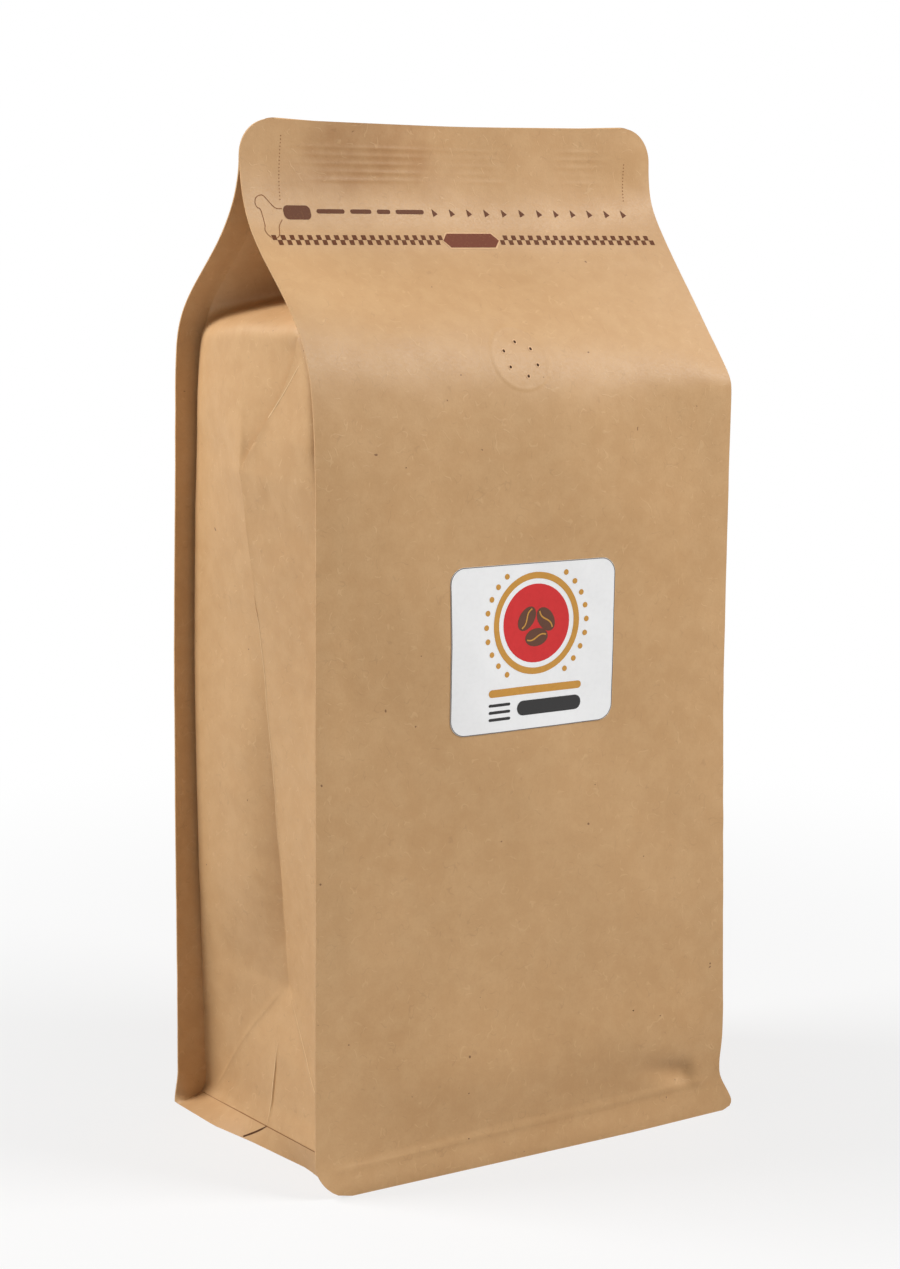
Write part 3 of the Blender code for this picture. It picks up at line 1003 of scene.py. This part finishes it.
def white_stage():
    """A floor that keeps the shadow near the object and fades to plain white away from it."""
    n = Nodes("floor_white")
    n.shader.inputs["Base Color"].default_value = (0.66, 0.66, 0.66, 1.0)
    n.shader.inputs["Roughness"].default_value = 0.9
    glow = n.add("ShaderNodeEmission")
    path = n.add("ShaderNodeLightPath")
    length = n.add("ShaderNodeVectorMath", operation="LENGTH")
    n.link(n.place, length.inputs[0])
    share = n.ramp(length.outputs["Value"], 0.12, 0.55, FLOOR_WHITENESS, 1.0)
    seen = n.math("MAXIMUM", path.outputs["Is Camera Ray"], path.outputs["Is Glossy Ray"])
    mixer = n.add("ShaderNodeMixShader")
    n.link(n.math("MULTIPLY", share, seen), mixer.inputs["Fac"])
    n.link(n.shader.outputs["BSDF"], mixer.inputs[1])
    n.link(glow.outputs["Emission"], mixer.inputs[2])
    n.link(mixer.outputs["Shader"], n.tree.nodes["Material Output"].inputs["Surface"])
    return n.material


floor_mesh = bpy.data.meshes.new("Floor")
floor_mesh.from_pydata([(-3, -3, 0), (3, -3, 0), (3, 3, 0), (-3, 3, 0)], [], [(0, 1, 2, 3)])
floor = bpy.data.objects.new("Floor", floor_mesh)
bpy.context.scene.collection.objects.link(floor)
floor_mesh.materials.append(white_stage())


def area_light(name, power, size, place, target):
    lamp = bpy.data.lights.new(name, "AREA")
    lamp.shape = "RECTANGLE"
    lamp.size, lamp.size_y = size
    lamp.energy = power
    obj = bpy.data.objects.new(name, lamp)
    obj.location = place
    obj.rotation_euler = (Vector(target) - Vector(place)).to_track_quat("-Z", "Y").to_euler()
    bpy.context.scene.collection.objects.link(obj)


CENTRE = (0.0, 0.0, 0.16)
area_light("Left_Rear", 10.5, (0.45, 0.45), (-0.68, 0.36, 0.86), CENTRE)
area_light("Right_Front", 16.5, (0.6, 0.6), (0.72, -0.72, 1.06), CENTRE)

world = bpy.data.worlds.new("World")
world.use_nodes = True
tree = world.node_tree
background = tree.nodes["Background"]
background.inputs["Color"].default_value = (1.0, 1.0, 1.0, 1.0)
background.inputs["Strength"].default_value = 0.09
seen = tree.nodes.new("ShaderNodeBackground")
seen.inputs["Color"].default_value = (1.0, 1.0, 1.0, 1.0)
seen.inputs["Strength"].default_value = 1.0
path = tree.nodes.new("ShaderNodeLightPath")
either = tree.nodes.new("ShaderNodeMath")
either.operation = "MAXIMUM"
mixer = tree.nodes.new("ShaderNodeMixShader")
tree.links.new(path.outputs["Is Camera Ray"], either.inputs[0])
tree.links.new(path.outputs["Is Glossy Ray"], either.inputs[1])
tree.links.new(either.outputs[0], mixer.inputs["Fac"])
tree.links.new(background.outputs[0], mixer.inputs[1])
tree.links.new(seen.outputs[0], mixer.inputs[2])
tree.links.new(mixer.outputs[0], tree.nodes["World Output"].inputs["Surface"])
bpy.context.scene.world = world
bpy.context.scene.view_settings.view_transform = "Standard"

CAMERA_PLACE = np.array((-0.4183, -0.6761, 0.2967))
CAMERA_YAW = math.radians(31.78)
CAMERA_DOWN = math.radians(9.73)
CAMERA_ROLL = math.radians(0.556)
lens = bpy.data.cameras.new("Camera")
lens.sensor_fit = "VERTICAL"
lens.sensor_height = 36.0
lens.lens = 70.8
camera = bpy.data.objects.new("Camera", lens)
camera.matrix_world = (Matrix.Translation(Vector(CAMERA_PLACE + SET_BACK))
                       @ Matrix.Rotation(-CAMERA_YAW, 4, "Z")
                       @ Matrix.Rotation(math.pi / 2 - CAMERA_DOWN, 4, "X")
                       @ Matrix.Rotation(CAMERA_ROLL, 4, "Z"))
bpy.context.scene.collection.objects.link(camera)
bpy.context.scene.camera = camera
